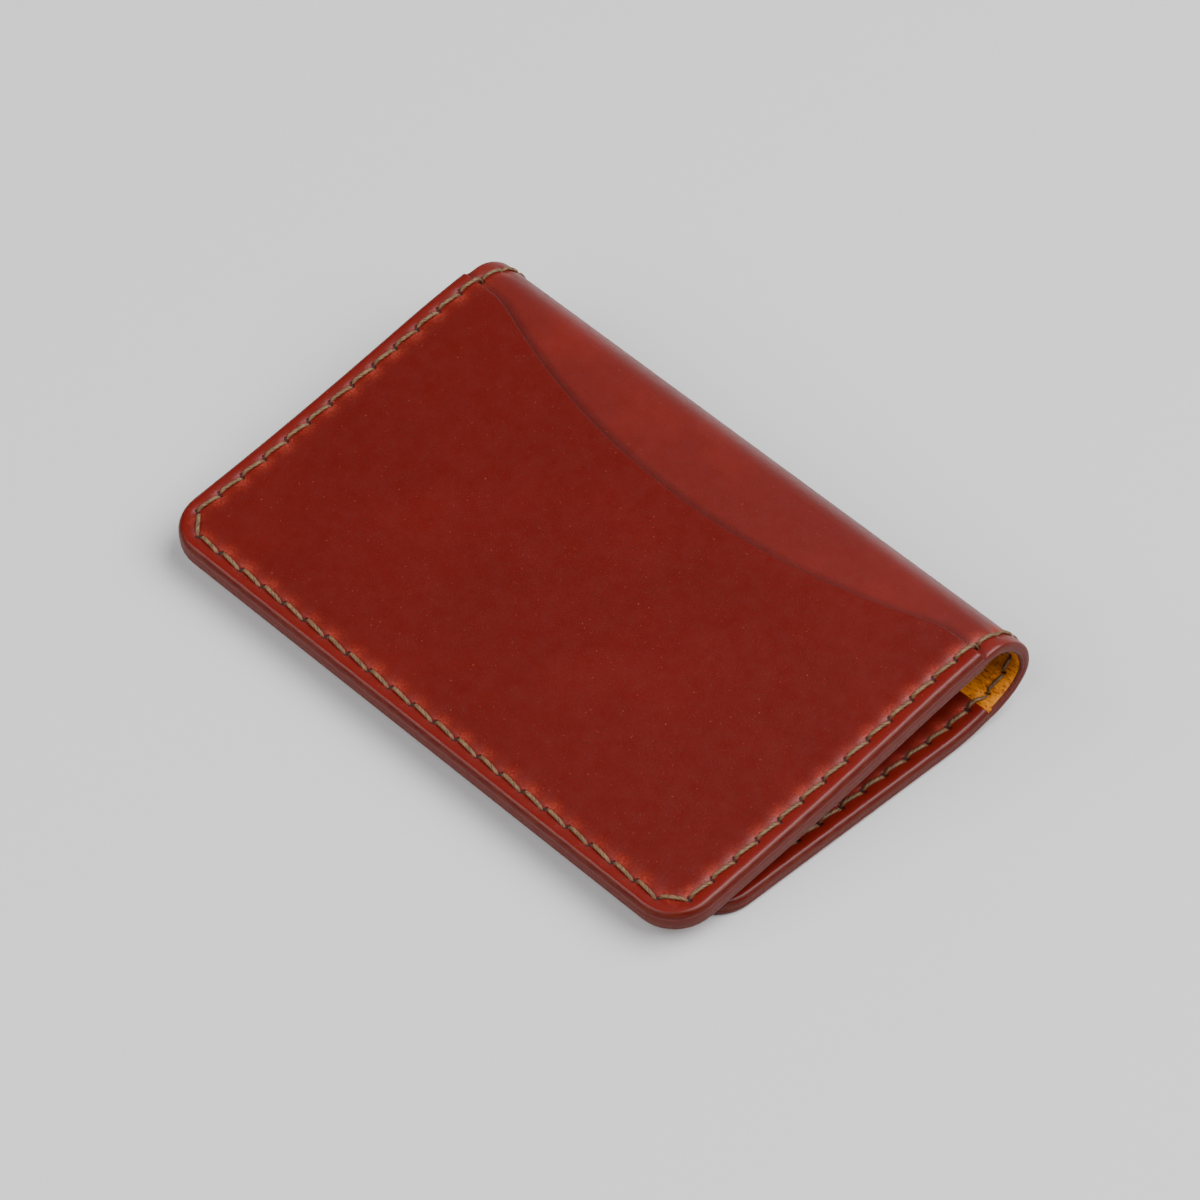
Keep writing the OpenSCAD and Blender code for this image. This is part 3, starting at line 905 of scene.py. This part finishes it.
pocket_out = pocket_panel("front_pocket", True, POCKET_DEPTH, -OUTER_POCKET, 0.0, mouth_dip, 0.45)
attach(pocket_out, "front_cover")
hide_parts("outer_pocket_front")
pocket_in = pocket_panel(
    "inner_pocket_front_panel", True, POCKET_DEPTH, INSIDE + POCKET, INSIDE, None, 0.4
)
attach(pocket_in, "front_cover")
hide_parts("inner_pocket_front")
pocket_back = pocket_panel(
    "inner_pocket_back_panel", False, BACK_POCKET_DEPTH, INSIDE + POCKET, INSIDE, None, 0.4
)
bend_region(pocket_back, 0)
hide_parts("inner_pocket_back", "inner_pocket_back_lip")

# A region may be too narrow for a stitch of its own: its CAD thread then goes with the next one's
threads = []
cad_threads = ["thread_back"]
stitch_middles = (holes[:, 1] + next_holes[:, 1]) / 2
for region, (start, end) in enumerate(zip(bounds_s, bounds_s[1:])):
    cad_threads.append(f"thread_spine_{region + 1}" if region < STRETCHES else "thread_front")
    if np.any((stitch_middles >= start) & (stitch_middles < end)):
        thread = thread_piece(f"stitches_{len(threads) + 1}", THREAD_LOOK, start, end)
        bend_region(thread, region)
        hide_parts(*cad_threads)
        threads.append(thread)
        cad_threads = []

# ---- floor, light and camera ---------------------------------------------------------------


def floor():
    """Pale paper, a hair below the holder so that the two never share a plane."""
    mesh = bpy.data.meshes.new("floor")
    size = 3.0
    corners = [(-size, -size, 0), (size, -size, 0), (size, size, 0), (-size, size, 0)]
    mesh.from_pydata(corners, [], [(0, 1, 2, 3)])
    paper = Shader("pale_paper")
    paper.shader.inputs["Base Color"].default_value = (0.66, 0.66, 0.665, 1)
    paper.shader.inputs["Roughness"].default_value = 0.9
    mesh.materials.append(paper.material)
    plane = bpy.data.objects.new("floor", mesh)
    plane.location.z = -0.03 * MM
    bpy.context.scene.collection.objects.link(plane)


def area_light(name, azimuth, elevation, distance, size, power):
    """A rectangular white light aimed at the holder. Azimuth is counted from +X towards +Y."""
    data = bpy.data.lights.new(name, "AREA")
    data.shape = "RECTANGLE"
    data.size, data.size_y = size
    data.energy = power
    a, e = math.radians(azimuth), math.radians(elevation)
    towards = Vector((math.cos(a) * math.cos(e), math.sin(a) * math.cos(e), math.sin(e)))
    light = bpy.data.objects.new(name, data)
    light.location = towards * distance
    light.rotation_euler = towards.to_track_quat("Z", "Y").to_euler()
    bpy.context.scene.collection.objects.link(light)


def camera(azimuth, elevation, roll, distance, target, lens):
    """Azimuth 0 looks along +Y. The camera looks at target, turned by roll about its own line of sight."""
    data = bpy.data.cameras.new("camera")
    data.lens = lens
    data.sensor_width = 36
    data.clip_start, data.clip_end = 0.01, 20
    made = bpy.data.objects.new("camera", data)
    a, e = math.radians(azimuth), math.radians(elevation)
    back = Vector((math.sin(a) * math.cos(e), -math.cos(a) * math.cos(e), math.sin(e)))
    turn = back.to_track_quat("Z", "Y").to_matrix().to_4x4()
    move = Matrix.Translation(Vector(target) + back * distance)
    made.matrix_world = move @ turn @ Matrix.Rotation(math.radians(roll), 4, "Z")
    bpy.context.scene.collection.objects.link(made)
    bpy.context.scene.camera = made


floor()
area_light("window", 38, 57, 1.3, (1.4, 1.2), 34.0)
area_light("fill", 254, 41, 1.5, (1.7, 1.1), 23.0)
area_light("backdrop", 124, 20, 1.5, (2.4, 1.0), 3.0)
world = bpy.data.worlds.new("studio")
world.use_nodes = True
background = world.node_tree.nodes["Background"]
background.inputs["Color"].default_value = (0.95, 0.97, 1.0, 1)
background.inputs["Strength"].default_value = 0.05
bpy.context.scene.world = world

camera(42.91, 46.86, 3.18, 0.8622, (0.00185, 0.0002, 0.007), 190.4)
